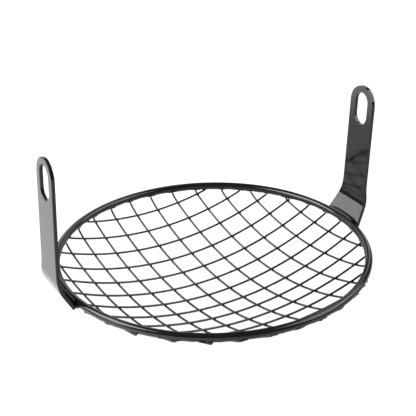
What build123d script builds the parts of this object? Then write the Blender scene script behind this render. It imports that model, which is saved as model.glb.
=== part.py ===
from build123d import *
from math import asin, cos, degrees, floor, radians, sin, sqrt, tan
import os

# Headlight grille: a rod ring, a dished mesh of welded wires under it and two slotted brackets.
# Millimetres. The origin is the middle of the ring, +Z points from the dish towards the lamp,
# and +X runs from the ring's middle to the right bracket.

# Ring, one round rod rolled into a hoop
ring_radius = 92.5
ring_rod = 4.5

# Mesh, pressed from a flat sheet of crossed wires. Pitches are those of the flat sheet, shifts are
# measured from the ring's axis, and turns are the degrees by which the sheet and its weave are
# askew: long wires from the X axis, cross wires from the Y axis.
wire_diameter = 1.2
dish_depth = 25.7
long_pitch = 14.75
long_shift = 2.7
long_turn = 1.7
cross_pitch = 15.25
cross_shift = 2.5
cross_turn = 3.2
edge_clearance = 6.0
turn_up = 0.8
touch_gap = 0.005

# Brackets, flat bar bent at the foot and slotted at the round end
bracket_width = 21.4
bracket_thickness = 2.2
bracket_height = 84.0
bracket_standoff = 8.8
foot_angle = 60.0
foot_width = 31.1
foot_lap = 0.3
flare_height = 19.0
flare_blend = 25.0
bend_radius = 16.5
left_lean = -1.9
right_lean = 3.1
slot_length = 20.3
slot_width = 12.0
slot_end_wall = 3.9

# Weld bead in the groove between each foot and the ring
bead_radius = 1.5
bead_sink = 0.7
bead_rise = 2.0
bead_length = 24.0
bead_end = 0.6

# The dish's inside is a sphere that meets the ring right under its rod, where the wires end. The
# middles of the long wires lie one wire radius outside it, and those of the cross wires one more
# wire out, so that the wires touch wherever they cross. The touch gap keeps their solids apart.
rod_radius = ring_rod / 2
wire_radius = wire_diameter / 2
seat_drop = dish_depth - rod_radius - wire_radius
inner_sphere = (ring_radius**2 + seat_drop**2) / (2 * seat_drop)
long_sphere = inner_sphere + wire_radius
cross_sphere = long_sphere + wire_diameter + touch_gap
dish_centre = long_sphere - dish_depth
seat_radius = (ring_radius - touch_gap) * long_sphere / inner_sphere
seat_height = dish_centre - sqrt(long_sphere**2 - seat_radius**2)


def wire_places(pitch, shift, sphere):
    """Distances of one family's wires from the ring's axis, seen from above.

    The pitch is measured along the dish, so the wires draw together towards the rim. No wire
    comes closer to the ring than the edge clearance."""
    reach = sphere * asin((ring_radius - edge_clearance) / sphere)
    first = -floor((reach + shift) / pitch + 0.5)
    last = floor((reach - shift) / pitch + 0.5)
    return [sphere * sin((shift + (k + 0.5) * pitch) / sphere) for k in range(first, last)]


def wire_plane(turn, place):
    """Upright plane that holds one wire: its x runs along the wire, and its y is up."""
    across = Vector(cos(radians(turn)), sin(radians(turn)))
    return Plane(across * place, x_dir=(-across.Y, across.X, 0), z_dir=across)


def seat_reach(place):
    """Distance along a wire from its middle to its end, whose upper outer corner meets the ring."""
    half_side = wire_radius / sqrt(3)
    return sqrt(seat_radius**2 - (abs(place) + half_side)**2)


def make_wire(path, plane, steepness):
    """Sweep a wire's section along its path.

    The section is a hexagon, which keeps the many wires light. It is turned so that a pair of its
    flats lies along the dish, and crossed wires rest flat on each other."""
    tilt = degrees(asin(steepness))
    with BuildPart() as wire:
        with BuildSketch(Plane(path @ 0, x_dir=plane.z_dir, z_dir=path % 0)):
            RegularPolygon(wire_radius, 6, major_radius=False, rotation=-tilt)
        sweep(path=path)
    return wire.part


def save(piece, label):
    """Label a finished piece and write it to its own file."""
    piece.label = label
    export_step(piece, f"parts/{label}.step")


os.makedirs("parts", exist_ok=True)

# Ring. Its section has twelve sides, with a corner where the wires seat and one where the feet do.
with BuildPart() as ring:
    with BuildSketch(Plane.XZ):
        with Locations((ring_radius, 0)):
            RegularPolygon(rod_radius, 12)
    revolve(axis=Axis.Z)
save(ring.part, "ring")

# Long wires, from bracket to bracket: each is one arc
long_direction = 90 + long_turn
long_places = wire_places(long_pitch, long_shift, long_sphere)
for number, place in enumerate(long_places, start=1):
    arc_radius = sqrt(long_sphere**2 - place**2)
    half_angle = degrees(asin(seat_reach(place) / arc_radius))
    plane = wire_plane(long_direction, place)
    with BuildLine(plane) as path:
        CenterArc((0, dish_centre), arc_radius, -90 - half_angle, 2 * half_angle)
    long_wire = make_wire(path.wire(), plane, place / long_sphere)
    save(long_wire, f"long_wire_{number:02d}")


def outer_crossings(place):
    """Where a cross wire meets the first and the last long wire inside the ring, along the wire."""
    between = radians(long_direction - cross_turn)
    meets = [(distance - place * cos(between)) / sin(between) for distance in long_places]
    inside = [meet for meet in meets if abs(meet) < seat_reach(place)]
    return min(inside), max(inside)


# Cross wires, under the long ones: each is an arc until just past its outermost crossings,
# and at both ends it turns up to seat on the ring
cross_places = wire_places(cross_pitch, cross_shift, cross_sphere)
for number, place in enumerate(cross_places, start=1):
    arc_radius = sqrt(cross_sphere**2 - place**2)
    meets = outer_crossings(place)
    first = degrees(asin((meets[0] - turn_up) / arc_radius))
    last = degrees(asin((meets[1] + turn_up) / arc_radius))
    plane = wire_plane(cross_turn, place)
    with BuildLine(plane) as path:
        middle = CenterArc((0, dish_centre), arc_radius, first - 90, last - first)
        TangentArc(middle @ 1, (seat_reach(place), seat_height), tangent=middle % 1)
        TangentArc(middle @ 0, (-seat_reach(place), seat_height), tangent=(middle % 0) * -1)
    cross_wire = make_wire(path.wire(), plane, place / cross_sphere)
    save(cross_wire, f"cross_wire_{number:02d}")

# Foot of a bracket, seen from the side: its inner face just touches the ring from outside
foot_run = Vector(cos(radians(foot_angle)), sin(radians(foot_angle)))
foot_out = Vector(foot_run.Y, -foot_run.X)
foot_end = Vector(ring_radius, 0) + foot_out * rod_radius - foot_run * foot_lap


def make_bracket(lean):
    """A bracket on the +X side, bent from flat bar. The lean tips its upright away from the axis."""
    slope = tan(radians(lean))
    upright_foot = ring_radius + bracket_standoff
    rise = (upright_foot + foot_end.Y * slope - foot_end.X) / (foot_run.X - foot_run.Y * slope)
    half_width = bracket_width / 2
    shoulder = bracket_height - half_width
    slot_height = bracket_height - slot_end_wall - slot_length / 2
    slot_place = (upright_foot + slot_height * slope, 0, slot_height)
    with BuildPart() as bracket:
        # The bent bar, as wide as its foot
        with BuildSketch(Plane.XZ):
            with BuildLine():
                top = (upright_foot + bracket_height * slope, bracket_height)
                FilletPolyline(foot_end, foot_end + foot_run * rise, top, radius=bend_radius)
                offset(amount=bracket_thickness, side=Side.RIGHT)
            make_face()
        extrude(amount=foot_width / 2, both=True)
        # Trimmed to its outline as seen from the lamp: flared foot, straight sides, round end
        with BuildSketch(Plane.YZ):
            with BuildLine():
                base = (foot_end + foot_out * bracket_thickness).Y
                side = [(foot_width / 2, base), (half_width, flare_height), (half_width, shoulder)]
                Line((0, base), side[0])
                FilletPolyline(*side, radius=flare_blend)
                CenterArc((0, shoulder), half_width, 0, 90)
                mirror(about=Plane.YZ)
            make_face()
        extrude(amount=upright_foot * 2, mode=Mode.INTERSECT)
        # The slot for the headlamp's bolt, cut square to the upright
        with BuildSketch(Plane(slot_place, x_dir=(0, 1, 0), z_dir=(1, 0, -slope))):
            SlotOverall(slot_length, slot_width, rotation=90)
        extrude(amount=bracket_thickness * 2, both=True, mode=Mode.SUBTRACT)
    return bracket.part


def make_weld(bracket):
    """The bead along the groove between a bracket's foot on the +X side and the ring."""
    bead = Vector(ring_radius, 0) + foot_out * (rod_radius - bead_sink) + foot_run * bead_rise
    half_turn = degrees(bead_length / 2 / bead.X)
    with BuildPart() as weld:
        with BuildSketch(Plane.XZ.rotated((0, 0, -half_turn))):
            with Locations(bead):
                RegularPolygon(bead_radius, 10)
        revolve(axis=Axis.Z, revolution_arc=2 * half_turn)
        chamfer(weld.edges().filter_by(GeomType.LINE), length=bead_end)
        add(ring.part, mode=Mode.SUBTRACT)
        add(bracket, mode=Mode.SUBTRACT)
    return weld.part


right_bracket = make_bracket(right_lean)
left_bracket = make_bracket(left_lean)
right_weld = make_weld(right_bracket)
left_weld = make_weld(left_bracket)
save(right_bracket, "right_bracket")
save(right_weld, "right_bracket_weld")
save(left_bracket.rotate(Axis.Z, 180), "left_bracket")
save(left_weld.rotate(Axis.Z, 180), "left_bracket_weld")
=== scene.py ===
from math import asin, atan2, ceil, cos, floor, pi, radians, sin, sqrt

import bmesh
import bpy
from mathutils import Matrix, Vector, noise


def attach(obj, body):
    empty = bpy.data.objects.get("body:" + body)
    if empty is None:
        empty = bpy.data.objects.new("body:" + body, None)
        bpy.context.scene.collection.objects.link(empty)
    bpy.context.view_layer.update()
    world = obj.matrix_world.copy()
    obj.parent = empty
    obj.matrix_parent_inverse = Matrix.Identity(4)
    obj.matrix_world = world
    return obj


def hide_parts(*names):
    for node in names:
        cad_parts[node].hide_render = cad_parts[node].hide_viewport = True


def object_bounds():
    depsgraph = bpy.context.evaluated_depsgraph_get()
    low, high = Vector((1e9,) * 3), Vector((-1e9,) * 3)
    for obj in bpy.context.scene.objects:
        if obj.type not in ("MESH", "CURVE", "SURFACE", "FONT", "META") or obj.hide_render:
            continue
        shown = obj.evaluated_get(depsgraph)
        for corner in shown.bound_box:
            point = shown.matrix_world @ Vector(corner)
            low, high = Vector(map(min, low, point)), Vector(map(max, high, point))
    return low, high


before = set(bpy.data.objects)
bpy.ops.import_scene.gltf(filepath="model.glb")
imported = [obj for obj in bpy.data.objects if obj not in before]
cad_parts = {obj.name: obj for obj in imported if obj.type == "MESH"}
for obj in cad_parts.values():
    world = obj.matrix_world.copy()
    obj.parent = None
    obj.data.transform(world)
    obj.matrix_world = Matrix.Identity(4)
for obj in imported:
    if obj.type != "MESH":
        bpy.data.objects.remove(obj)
cad_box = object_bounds()

# Headlight grille: a rod ring, a dished mesh of round wires, two bent and slotted brackets and their
# welds, all in gloss black powder coat, on white paper. Metres, in the part's own axes.

# Sizes that the CAD has too. The mesh is worked out again from them as the CAD does it.
RING_RADIUS = 0.0925
ROD_RADIUS = 0.00225
WIRE_RADIUS = 0.0006
DISH_DEPTH = 0.0257
LONG_PITCH, LONG_SHIFT, LONG_TURN = 0.01475, 0.0027, 91.7
CROSS_PITCH, CROSS_SHIFT, CROSS_TURN = 0.01525, 0.0025, 3.2
EDGE_CLEARANCE = 0.006
TURN_UP = 0.0008
FOOT_ANGLE = radians(60)
BEAD_RADIUS, BEAD_SINK, BEAD_RISE, BEAD_LENGTH = 0.0015, 0.0007, 0.002, 0.024

SEAT_DROP = DISH_DEPTH - ROD_RADIUS - WIRE_RADIUS
INNER_SPHERE = (RING_RADIUS**2 + SEAT_DROP**2) / (2 * SEAT_DROP)
LONG_SPHERE = INNER_SPHERE + WIRE_RADIUS
CROSS_SPHERE = LONG_SPHERE + 2 * WIRE_RADIUS
DISH_CENTRE = LONG_SPHERE - DISH_DEPTH
SEAT_RADIUS = RING_RADIUS * LONG_SPHERE / INNER_SPHERE
SEAT_HEIGHT = DISH_CENTRE - sqrt(LONG_SPHERE**2 - SEAT_RADIUS**2)
FLOOR_HEIGHT = cad_box[0][2]

# Paint: the wires' radius with it, the share of that at their melted ends, how far it rounds the
# brackets' rims, and what the rod stays short of its own radius, to keep inside the CAD's box
COATED_WIRE_RADIUS = 0.00063
MELTED_SHARE = 0.25
RIM_ROUNDING = 0.0004
ROD_SHORTFALL = 0.00001

# Welds too fine for the CAD, as lumps with three half sizes. At a crossing these run both ways along
# the dish and out of it, at a wire's end around the ring, outward and up, and at a foot's end around
# the ring, out of the foot and up it.
CROSSING_WELD = (0.00085, 0.00085, 0.0005)
WIRE_END_WELD = (0.0034, 0.0017, 0.0006)
FOOT_END_WELD = (0.0034, 0.0010, 0.0013)
FOOT_END_PLACE = 0.0127

# The run of weld under the ring: its radius and how much that wavers, and its place below and
# outside the circle along the middle of the rod
WELD_RUN_RADIUS, WELD_RUN_WAVER = 0.0009, 0.0003
WELD_RUN_DROP, WELD_RUN_OUTSET = 0.0019, 0.0002


# Materials

def new_material(name):
    """A new material, its nodes and their links."""
    material = bpy.data.materials.new(name)
    material.use_nodes = True
    return material, material.node_tree.nodes, material.node_tree.links


def add_ramp(nodes, links, value, start, finish, low, high, interpolation="LINEAR"):
    """A node whose result goes from low to high while its value goes from start to finish."""
    ramp = nodes.new("ShaderNodeMapRange")
    ramp.interpolation_type = interpolation
    ramp.inputs["From Min"].default_value = start
    ramp.inputs["From Max"].default_value = finish
    ramp.inputs["To Min"].default_value = low
    ramp.inputs["To Max"].default_value = high
    links.new(value, ramp.inputs["Value"])
    return ramp


def orange_peel_group():
    """Powder coat's height, slow waves with fine specks of dust in them, and its duller patches."""
    group = bpy.data.node_groups.new("orange_peel", "ShaderNodeTree")
    interface = group.interface
    interface.new_socket("Place", in_out="INPUT", socket_type="NodeSocketVector")
    wave = interface.new_socket("Wave scale", in_out="INPUT", socket_type="NodeSocketFloat")
    wave.default_value = 700
    speck = interface.new_socket("Speck scale", in_out="INPUT", socket_type="NodeSocketFloat")
    speck.default_value = 2600
    interface.new_socket("Height", in_out="OUTPUT", socket_type="NodeSocketFloat")
    interface.new_socket("Patches", in_out="OUTPUT", socket_type="NodeSocketFloat")
    nodes, links = group.nodes, group.links
    start = nodes.new("NodeGroupInput")
    end = nodes.new("NodeGroupOutput")
    waves = nodes.new("ShaderNodeTexNoise")
    waves.inputs["Detail"].default_value = 1.0
    waves.inputs["Roughness"].default_value = 0.4
    links.new(start.outputs["Place"], waves.inputs["Vector"])
    links.new(start.outputs["Wave scale"], waves.inputs["Scale"])
    specks = nodes.new("ShaderNodeTexNoise")
    specks.inputs["Detail"].default_value = 2.0
    links.new(start.outputs["Place"], specks.inputs["Vector"])
    links.new(start.outputs["Speck scale"], specks.inputs["Scale"])
    both = nodes.new("ShaderNodeMath")
    both.operation = "MULTIPLY_ADD"
    both.inputs[1].default_value = 0.25
    links.new(specks.outputs["Fac"], both.inputs[0])
    links.new(waves.outputs["Fac"], both.inputs[2])
    links.new(both.outputs["Value"], end.inputs["Height"])
    patches = nodes.new("ShaderNodeTexNoise")
    patches.inputs["Scale"].default_value = 45
    patches.inputs["Detail"].default_value = 3.0
    links.new(start.outputs["Place"], patches.inputs["Vector"])
    spread = add_ramp(nodes, links, patches.outputs["Fac"], 0.3, 0.7, 0.0, 1.0)
    links.new(spread.outputs["Result"], end.inputs["Patches"])
    return group


ORANGE_PEEL = orange_peel_group()


def black_powder_coat(name, base, peel, gloss):
    """Gloss black powder coat over steel.

    The peel is the depth of its waves in metres, and the gloss its least and greatest roughness."""
    material, nodes, links = new_material(name)
    shader = nodes["Principled BSDF"]
    shader.inputs["Base Color"].default_value = base
    shader.inputs["IOR"].default_value = 1.52
    place = nodes.new("ShaderNodeTexCoord")
    coat = nodes.new("ShaderNodeGroup")
    coat.node_tree = ORANGE_PEEL
    links.new(place.outputs["Object"], coat.inputs["Place"])
    bump = nodes.new("ShaderNodeBump")
    bump.inputs["Strength"].default_value = 1.0
    bump.inputs["Distance"].default_value = peel
    links.new(coat.outputs["Height"], bump.inputs["Height"])
    links.new(bump.outputs["Normal"], shader.inputs["Normal"])
    roughness = add_ramp(nodes, links, coat.outputs["Patches"], 0.0, 1.0, *gloss)
    links.new(roughness.outputs["Result"], shader.inputs["Roughness"])
    return material


COAT_BLACK = (0.008, 0.008, 0.0085, 1)
BRACKET_COAT = black_powder_coat("black powder coat on flat bar", COAT_BLACK, 0.00002, (0.02, 0.04))
ROD_COAT = black_powder_coat("black powder coat on rod", COAT_BLACK, 0.00002, (0.1, 0.16))
WIRE_COAT = black_powder_coat("black powder coat on wire", COAT_BLACK, 0.00001, (0.13, 0.2))
WELD_COAT = black_powder_coat("black powder coat on welds", COAT_BLACK, 0.00005, (0.13, 0.2))


# Ways to make a piece

def add_piece(name, mesh, material, replaced=()):
    """Put a mesh of the grille into the scene, riding on the one body that it has."""
    piece = bpy.data.objects.new(name, mesh)
    bpy.context.scene.collection.objects.link(piece)
    mesh.materials.clear()
    mesh.materials.append(material)
    for face in mesh.polygons:
        face.use_smooth = True
    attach(piece, "root")
    if replaced:
        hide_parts(*replaced)
    return piece


def tube_mesh(name, points, radii, side, sides=14):
    """A round bar along points that lie in one plane, whose normal is side."""
    vertices, faces = [], []
    for k, point in enumerate(points):
        tangent = (points[min(k + 1, len(points) - 1)] - points[max(k - 1, 0)]).normalized()
        up = side.cross(tangent)
        for j in range(sides):
            angle = 2 * pi * j / sides
            vertices.append(point + (side * cos(angle) + up * sin(angle)) * radii[k])
    for k in range(len(points) - 1):
        for j in range(sides):
            a, b = k * sides + j, k * sides + (j + 1) % sides
            faces.append((a, a + sides, b + sides, b))
    faces.append(tuple(range(sides)))
    faces.append(tuple(reversed(range((len(points) - 1) * sides, len(points) * sides))))
    mesh = bpy.data.meshes.new(name)
    mesh.from_pydata(vertices, [], faces)
    mesh.validate()
    bm = bmesh.new()
    bm.from_mesh(mesh)
    bmesh.ops.recalc_face_normals(bm, faces=bm.faces)
    bm.to_mesh(mesh)
    bm.free()
    return mesh


def hoop_mesh(name, reach, height, thickness, around, sides):
    """A closed hoop about the ring's axis. Its section's radius may change with the direction."""
    vertices, faces = [], []
    for k in range(around):
        turn = 2 * pi * k / around
        outward = Vector((cos(turn), sin(turn), 0))
        for j in range(sides):
            angle = 2 * pi * j / sides
            out = outward * cos(angle) + Vector((0, 0, sin(angle)))
            vertices.append(outward * reach + Vector((0, 0, height)) + out * thickness(outward))
    for k in range(around):
        for j in range(sides):
            a, b = k * sides + j, k * sides + (j + 1) % sides
            c, d = (a + sides) % (around * sides), (b + sides) % (around * sides)
            faces.append((a, c, d, b))
    mesh = bpy.data.meshes.new(name)
    mesh.from_pydata(vertices, [], faces)
    return mesh


def lumps_mesh(name, lumps, subdivisions, roughness):
    """Small rounded lumps, each given as (middle, three directions, half sizes along them)."""
    grain, difference = 1.4, 3000
    bm = bmesh.new()
    for middle, directions, half_sizes in lumps:
        axes = [direction * half for direction, half in zip(directions, half_sizes)]
        made = bmesh.ops.create_icosphere(bm, subdivisions=subdivisions, radius=1.0)
        for vertex in made["verts"]:
            swell = 1 + roughness * noise.noise(vertex.co * grain + middle * difference)
            offset = sum((axis * part for axis, part in zip(axes, vertex.co)), Vector())
            vertex.co = middle + offset * swell
    mesh = bpy.data.meshes.new(name)
    bm.to_mesh(mesh)
    bm.free()
    return mesh


# Wires

def wire_places(pitch, shift, sphere):
    """Distances of one family's wires from the ring's axis, as in the CAD."""
    reach = sphere * asin((RING_RADIUS - EDGE_CLEARANCE) / sphere)
    first = -floor((reach + shift) / pitch + 0.5)
    last = floor((reach - shift) / pitch + 0.5)
    return [sphere * sin((shift + (k + 0.5) * pitch) / sphere) for k in range(first, last)]


def wire_directions(turn):
    """Unit vectors across and along the wires of one family."""
    across = Vector((cos(radians(turn)), sin(radians(turn)), 0))
    return across, Vector((-across.y, across.x, 0))


LONG_PLACES = wire_places(LONG_PITCH, LONG_SHIFT, LONG_SPHERE)
CROSS_PLACES = wire_places(CROSS_PITCH, CROSS_SHIFT, CROSS_SPHERE)
LONG_ACROSS, LONG_ALONG = wire_directions(LONG_TURN)
CROSS_ACROSS, CROSS_ALONG = wire_directions(CROSS_TURN)


def seat_reach(place):
    """Distance along a wire from its middle to where it seats under the ring."""
    return sqrt(SEAT_RADIUS**2 - place**2)


def arc(radius, start, finish, step=0.0016):
    """Points (distance along the wire, height) of the arc that a wire follows along the dish."""
    count = max(ceil((finish - start) / step), 2)
    spots = [start + (finish - start) * k / count for k in range(count + 1)]
    return [Vector((s, DISH_CENTRE - sqrt(radius**2 - s**2))) for s in spots]


def tangent_arc(start, tangent, finish, count=8):
    """Points of the arc that leaves start along tangent and ends at finish."""
    normal = Vector((-tangent.y, tangent.x))
    chord = finish - start
    radius = chord.length_squared / (2 * normal.dot(chord))
    centre = start + normal * radius
    turn = 2 * atan2(tangent.x * chord.y - tangent.y * chord.x, tangent.dot(chord))
    spokes = [(start - centre) @ Matrix.Rotation(-turn * k / count, 2) for k in range(1, count + 1)]
    return [centre + spoke for spoke in spokes]


def crossings_on_cross_wire(place):
    """Distances along a cross wire at which the long wires cross it inside the ring."""
    between = radians(LONG_TURN - CROSS_TURN)
    meets = [(other - place * cos(between)) / sin(between) for other in LONG_PLACES]
    return [meet for meet in meets if abs(meet) < seat_reach(place)]


def stand_up(points, place, across, along):
    """Carry points of a wire's own plane into the part's frame."""
    return [across * place + along * point.x + Vector((0, 0, point.y)) for point in points]


def add_wire(kind, number, points, across):
    """One round wire in its coat of paint. Its ends are melted thin into their welds."""
    node = f"{kind}_wire_{number:02d}"
    end = COATED_WIRE_RADIUS * MELTED_SHARE
    radii = [end] + [COATED_WIRE_RADIUS] * (len(points) - 2) + [end]
    add_piece(f"round_{node}", tube_mesh(f"round_{node}", points, radii, across), WIRE_COAT, [node])


wire_ends = []
for number, place in enumerate(LONG_PLACES, start=1):
    reach = seat_reach(place)
    middle = arc(sqrt(LONG_SPHERE**2 - place**2), -reach, reach)
    points = stand_up(middle, place, LONG_ACROSS, LONG_ALONG)
    add_wire("long", number, points, LONG_ACROSS)
    wire_ends += [points[0], points[-1]]

crossing_points = []
for number, place in enumerate(CROSS_PLACES, start=1):
    meets = crossings_on_cross_wire(place)
    middle = arc(sqrt(CROSS_SPHERE**2 - place**2), min(meets) - TURN_UP, max(meets) + TURN_UP)
    reach = seat_reach(place)
    last = tangent_arc(middle[-1], (middle[-1] - middle[-2]).normalized(), Vector((reach, SEAT_HEIGHT)))
    first = tangent_arc(middle[0], (middle[0] - middle[1]).normalized(), Vector((-reach, SEAT_HEIGHT)))
    points = stand_up(first[::-1] + middle + last, place, CROSS_ACROSS, CROSS_ALONG)
    add_wire("cross", number, points, CROSS_ACROSS)
    wire_ends += [points[0], points[-1]]
    crossing_points += [CROSS_ACROSS * place + CROSS_ALONG * meet for meet in meets]


# Welds of the mesh, and the ring

def crossing_welds():
    """The small nuggets where crossed wires were welded, filled out by the paint."""
    centre = Vector((0, 0, DISH_CENTRE))
    sphere = LONG_SPHERE + WIRE_RADIUS
    lumps = []
    for spot in crossing_points:
        middle = Vector((spot.x, spot.y, DISH_CENTRE - sqrt(sphere**2 - spot.length_squared)))
        out = (middle - centre).normalized()
        first = CROSS_ALONG.cross(out).normalized()
        lumps.append((middle, (first, out.cross(first), out), CROSSING_WELD))
    mesh = lumps_mesh("crossing_welds", lumps, subdivisions=2, roughness=0.15)
    add_piece("crossing_welds", mesh, WELD_COAT)


def wire_end_welds():
    """The lumps of weld that hold every wire's end under the ring, each of its own size."""
    outset, sink, variation = 0.0001, 0.0002, 0.25
    up = Vector((0, 0, 1))
    lumps = []
    for number, end in enumerate(wire_ends):
        outward = Vector((end.x, end.y, 0)).normalized()
        around = Vector((-outward.y, outward.x, 0))
        middle = outward * (RING_RADIUS + outset) - up * (ROD_RADIUS - sink)
        size = 1 + variation * noise.noise(Vector((number * 1.7, 0.3, 5.1)))
        lumps.append((middle, (around, outward, up), [half * size for half in WIRE_END_WELD]))
    mesh = lumps_mesh("wire_end_welds", lumps, subdivisions=3, roughness=0.4)
    add_piece("wire_end_welds", mesh, WELD_COAT)


def weld_run():
    """The uneven run of weld and paint between the wires' ends, along the underside of the ring."""
    mesh = hoop_mesh("weld_run", RING_RADIUS + WELD_RUN_OUTSET, -WELD_RUN_DROP,
                     lambda outward: WELD_RUN_RADIUS + WELD_RUN_WAVER * noise.noise(outward * 22),
                     around=360, sides=10)
    add_piece("weld_run", mesh, WELD_COAT)


def round_ring():
    """The rod, rolled into a hoop."""
    mesh = hoop_mesh("round_ring", RING_RADIUS, 0, lambda outward: ROD_RADIUS - ROD_SHORTFALL,
                     around=288, sides=28)
    add_piece("round_ring", mesh, ROD_COAT, ["ring"])


# Brackets and their welds

def coated_bracket(side):
    """The CAD's bracket with its rims rounded as a thick coat of paint rounds them."""
    rim_angle = radians(35)
    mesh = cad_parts[f"{side}_bracket"].data.copy()
    bm = bmesh.new()
    bm.from_mesh(mesh)
    bmesh.ops.remove_doubles(bm, verts=bm.verts, dist=0.000002)
    bmesh.ops.dissolve_limit(bm, angle_limit=radians(0.5), verts=bm.verts, edges=bm.edges)
    rims = [edge for edge in bm.edges if edge.is_manifold and edge.calc_face_angle() > rim_angle]
    bmesh.ops.bevel(bm, geom=rims, offset=RIM_ROUNDING, segments=3, profile=0.5, affect="EDGES",
                    clamp_overlap=True)
    bm.to_mesh(mesh)
    bm.free()
    piece = add_piece(f"coated_{side}_bracket", mesh, BRACKET_COAT, [f"{side}_bracket"])
    smooth = piece.modifiers.new("flat faces stay flat", "WEIGHTED_NORMAL")
    smooth.keep_sharp = True


def bracket_weld(side):
    """The bead along a bracket's foot, built up in small overlapping ripples."""
    foot_run = Vector((cos(FOOT_ANGLE), sin(FOOT_ANGLE)))
    foot_out = Vector((foot_run.y, -foot_run.x))
    bead = foot_out * (ROD_RADIUS - BEAD_SINK) + foot_run * BEAD_RISE
    facing = 0 if side == "right" else pi
    half_turn = BEAD_LENGTH / 2 / (RING_RADIUS + bead.x)
    wander, ripple, roughness = 0.00012, 0.00014, 0.0001
    points, radii = [], []
    count = 96
    for k in range(count + 1):
        share = 2 * k / count - 1
        angle = facing + half_turn * share
        reach = RING_RADIUS + bead.x + wander * noise.noise(Vector((share * 3.1, facing, 2.0)))
        points.append(Vector((cos(angle) * reach, sin(angle) * reach, bead.y)))
        swell = ripple * sin(share * 38) + roughness * noise.noise(Vector((share * 9, facing, 7.0)))
        taper = sqrt(max(1 - abs(share) ** 6, 0.0))
        radii.append(max((BEAD_RADIUS + swell) * taper, 0.00002))
    mesh = tube_mesh(f"rippled_{side}_bracket_weld", points, radii, Vector((0, 0, 1)), sides=20)
    add_piece(f"rippled_{side}_bracket_weld", mesh, WELD_COAT, [f"{side}_bracket_weld"])


def foot_end_welds():
    """The weld that fills the narrow gaps between the ring and both ends of each flat foot."""
    rise = 0.0004
    lumps = []
    for facing in (1, -1):
        run = Vector((facing * cos(FOOT_ANGLE), 0, sin(FOOT_ANGLE)))
        out = Vector((facing * sin(FOOT_ANGLE), 0, -cos(FOOT_ANGLE)))
        for along in (-FOOT_END_PLACE, FOOT_END_PLACE):
            on_ring = Vector((facing * sqrt(RING_RADIUS**2 - along**2), along, 0))
            middle = on_ring + out * (ROD_RADIUS + rise)
            around = Vector((-facing * along, middle.x * facing, 0)).normalized()
            lumps.append((middle, (around, out, run), FOOT_END_WELD))
    mesh = lumps_mesh("foot_end_welds", lumps, subdivisions=3, roughness=0.3)
    add_piece("foot_end_welds", mesh, WELD_COAT)


crossing_welds()
wire_end_welds()
weld_run()
foot_end_welds()
round_ring()
for side in ("left", "right"):
    coated_bracket(side)
    bracket_weld(side)


# Studio. The photo's axes (X to the right, Y away from the camera) are the part's turned about Z.
# The softboxes face the grille just above its ring.

PHOTO_TURN = Matrix.Rotation(radians(-29), 4, "Z")
GRILLE = (0, 0, 0.02)
FLOOR_REACH = 6.0

# The floor's glow to the camera, near the grille and afar, and the distances from the ring's middle
# between which it changes
FLOOR_GLOW, FLOOR_GLOW_AFAR = 0.68, 0.9
AFAR = (0.5, 1.6)

# The floor's painted reflection, a glow only the paint's gloss sees: its strength under the grille and
# in a painted pool of light beyond the left bracket, and the share of it left in painted shade behind
# the grille. Each changes between two places on the part's X or Y axis.
# Painted reflection: a painted pool of light at the left and painted shade behind the grille
PAINTED_REFLECTION_UNDER_GRILLE, PAINTED_LIGHT_POOL_LEFT, PAINTED_SHADE_SHARE_BEHIND = 0.7, 1.7, 0.08
BEYOND_LEFT = (-0.06, -0.12)
BEHIND = (0.31, 0.35)


def floor_material():
    """White paper with faint shadows.

    The camera sees it all but burnt out, as in the photo, and it glows a little more far from the
    lamps, so that it stays white. What the gloss of the paint mirrors of it is a painted reflection,
    a glow in place of the softboxes' light on it: a painted pool of light beyond the left bracket,
    dimmer under the grille, and painted shade far behind it."""
    material, nodes, links = new_material("white paper")
    shader = nodes["Principled BSDF"]
    shader.inputs["Base Color"].default_value = (0.3, 0.3, 0.3, 1)
    shader.inputs["Roughness"].default_value = 0.9
    shader.inputs["Specular IOR Level"].default_value = 0.0
    shader.inputs["Emission Color"].default_value = (1, 1, 1, 1)
    place = nodes.new("ShaderNodeTexCoord")
    distance = nodes.new("ShaderNodeVectorMath")
    distance.operation = "LENGTH"
    links.new(place.outputs["Object"], distance.inputs[0])
    glow = add_ramp(nodes, links, distance.outputs["Value"], *AFAR, FLOOR_GLOW, FLOOR_GLOW_AFAR,
                    "SMOOTHSTEP")
    links.new(glow.outputs["Result"], shader.inputs["Emission Strength"])
    # Painted reflection: a painted pool of light beyond the left bracket and painted shade behind the
    # grille
    parts = nodes.new("ShaderNodeSeparateXYZ")
    links.new(place.outputs["Object"], parts.inputs["Vector"])
    left = add_ramp(nodes, links, parts.outputs["X"], *BEYOND_LEFT, PAINTED_REFLECTION_UNDER_GRILLE, PAINTED_LIGHT_POOL_LEFT,
                    "SMOOTHSTEP")
    behind = add_ramp(nodes, links, parts.outputs["Y"], *BEHIND, 1.0, PAINTED_SHADE_SHARE_BEHIND, "SMOOTHSTEP")
    glow_strength = nodes.new("ShaderNodeMath")
    glow_strength.operation = "MULTIPLY"
    links.new(left.outputs["Result"], glow_strength.inputs[0])
    links.new(behind.outputs["Result"], glow_strength.inputs[1])
    # The painted reflection, an emission that only glossy rays see
    mirrored = nodes.new("ShaderNodeEmission")
    links.new(glow_strength.outputs["Value"], mirrored.inputs["Strength"])
    rays = nodes.new("ShaderNodeLightPath")
    mix = nodes.new("ShaderNodeMixShader")
    links.new(rays.outputs["Is Glossy Ray"], mix.inputs["Fac"])
    links.new(shader.outputs["BSDF"], mix.inputs[1])
    links.new(mirrored.outputs["Emission"], mix.inputs[2])
    links.new(mix.outputs["Shader"], nodes["Material Output"].inputs["Surface"])
    return material


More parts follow.
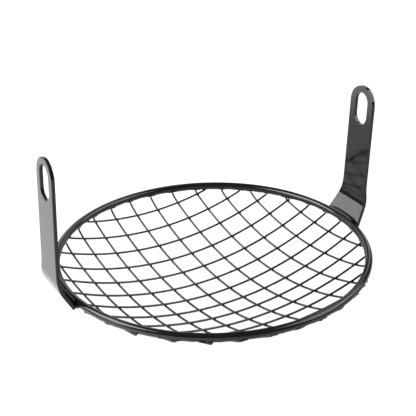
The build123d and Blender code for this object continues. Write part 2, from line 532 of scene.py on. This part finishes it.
def add_floor():
    """The sheet of paper that the grille lies on."""
    mesh = bpy.data.meshes.new("floor")
    corners = [(-1, -1), (1, -1), (1, 1), (-1, 1)]
    vertices = [(x * FLOOR_REACH, y * FLOOR_REACH, FLOOR_HEIGHT) for x, y in corners]
    mesh.from_pydata(vertices, [], [(0, 1, 2, 3)])
    mesh.materials.append(floor_material())
    paper = bpy.data.objects.new("floor", mesh)
    bpy.context.scene.collection.objects.link(paper)


def add_softbox(name, place, target, width, height, watts):
    """A soft panel light at a place in the photo's axes, aimed at a target there."""
    data = bpy.data.lights.new(name, "AREA")
    data.shape = "RECTANGLE"
    data.size, data.size_y = width, height
    data.energy = watts
    lamp = bpy.data.objects.new(name, data)
    aim = (Vector(place) - Vector(target)).to_track_quat("Z", "Y").to_matrix().to_4x4()
    lamp.matrix_world = PHOTO_TURN @ Matrix.Translation(place) @ aim
    bpy.context.scene.collection.objects.link(lamp)


def set_world(glow_strength, mirrored, seen):
    """Even light from all round, of which the gloss of the paint mirrors little.

    The camera sees it as white as the floor."""
    world = bpy.data.worlds.new("studio")
    world.use_nodes = True
    nodes, links = world.node_tree.nodes, world.node_tree.links
    rays = nodes.new("ShaderNodeLightPath")
    strength = add_ramp(nodes, links, rays.outputs["Is Glossy Ray"], 0.0, 1.0, glow_strength, mirrored)
    backdrop = add_ramp(nodes, links, rays.outputs["Is Camera Ray"], 0.0, 1.0, 0.0, seen)
    links.new(strength.outputs["Result"], backdrop.inputs["To Min"])
    nodes["Background"].inputs["Color"].default_value = (1, 1, 1, 1)
    links.new(backdrop.outputs["Result"], nodes["Background"].inputs["Strength"])
    bpy.context.scene.world = world


add_floor()
set_world(glow_strength=0.4, mirrored=0.05, seen=1.0)
add_softbox("left softbox", (-0.78, -0.06, 0.62), GRILLE, width=0.9, height=0.8, watts=16)
add_softbox("low panel at the left", (-0.85, 0.44, 0.21), GRILLE, width=0.45, height=0.16, watts=0.85)
add_softbox("right softbox", (0.75, 0.06, 0.60), GRILLE, width=0.9, height=0.8, watts=7)
add_softbox("card behind at the left", (-0.12, 0.34, 0.15), (-0.08, 0.04, 0), width=0.2, height=0.26,
            watts=0.18)
add_softbox("card behind at the right", (0.17, 0.30, 0.15), (0.09, 0, 0), width=0.18, height=0.26,
            watts=0.17)


# Camera, as fitted to the ring, the mesh and the brackets of the photo. The ring's middle is given
# from the camera: to its right, down and ahead.

PIXELS = 416
FOCAL_PIXELS = 1092.183
SENSOR_WIDTH = 36
ELEVATION = radians(26.422)
ROLL = radians(-0.924)
RING_FROM_CAMERA = Vector((2.564, 26.101, 651.237)) * 0.001


def add_camera():
    """The photo's camera, rolled a little about its own line of sight."""
    right = Vector((1, 0, 0))
    down = Vector((0, -sin(ELEVATION), -cos(ELEVATION)))
    forward = Vector((0, cos(ELEVATION), -sin(ELEVATION)))
    rolled_right = right * cos(ROLL) - down * sin(ROLL)
    rolled_down = right * sin(ROLL) + down * cos(ROLL)
    across, below, ahead = RING_FROM_CAMERA
    place = -(rolled_right * across + rolled_down * below + forward * ahead)
    axes = Matrix((rolled_right, -rolled_down, -forward)).transposed().to_4x4()
    data = bpy.data.cameras.new("camera")
    data.sensor_width = SENSOR_WIDTH
    data.lens = SENSOR_WIDTH * FOCAL_PIXELS / PIXELS
    data.clip_start, data.clip_end = 0.01, 50
    camera = bpy.data.objects.new("camera", data)
    camera.matrix_world = PHOTO_TURN @ Matrix.Translation(place) @ axes
    bpy.context.scene.collection.objects.link(camera)
    bpy.context.scene.camera = camera


add_camera()
bpy.context.scene.view_settings.view_transform = "Standard"
